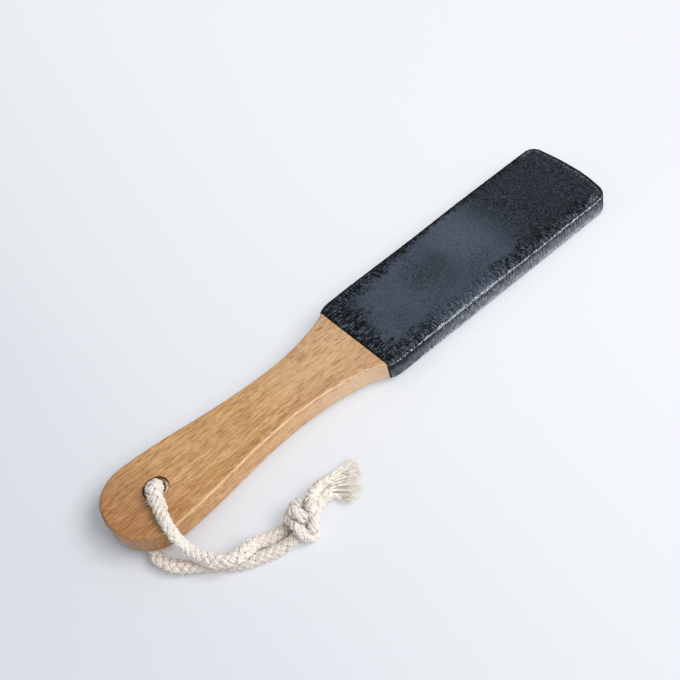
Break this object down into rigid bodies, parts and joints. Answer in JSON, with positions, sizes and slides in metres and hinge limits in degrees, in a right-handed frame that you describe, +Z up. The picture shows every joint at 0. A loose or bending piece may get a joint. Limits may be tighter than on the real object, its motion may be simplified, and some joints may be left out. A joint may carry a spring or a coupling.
{
  "type": "foot file",
  "caption": "Wooden foot file: paddle handle, abrasive-coated blade on both faces and edges, and a knotted braided cotton hanging cord through the butt.",
  "frame": {"origin": "middle of the file's bounding box, without the cord, at the height of the surface it rests on", "axes": "+X along the file from the butt to the blade's tip, +Y across the width, +Z up out of the upper face"},
  "size_m": [0.236, 0.0752, 0.0213],
  "materials": {
    "beech": "satin lacquered beech, honey tan with short dark flecks along the grain",
    "fine_grit": "bonded dark abrasive, finer face, satin blue-black with small glints",
    "coarse_grit": "bonded dark abrasive, coarser face",
    "edge_grit": "clumped rough abrasive lapped over the edges, grey where it catches light",
    "cotton_braid": "natural off-white braided cotton, slightly fuzzy",
    "cotton_yarn": "loose off-white cotton yarn"
  },
  "bodies": {
    "root": {"beech_paddle": "beech", "upper_grit_sheet": "fine_grit", "lower_grit_sheet": "coarse_grit", "edge_grit_band": "edge_grit", "cord_upper_leg": "cotton_braid", "cord_lower_leg": "cotton_braid", "cord_knot": "cotton_braid", "frayed_end_far": "cotton_yarn", "frayed_end_near": "cotton_yarn"}
  },
  "joints": []
}
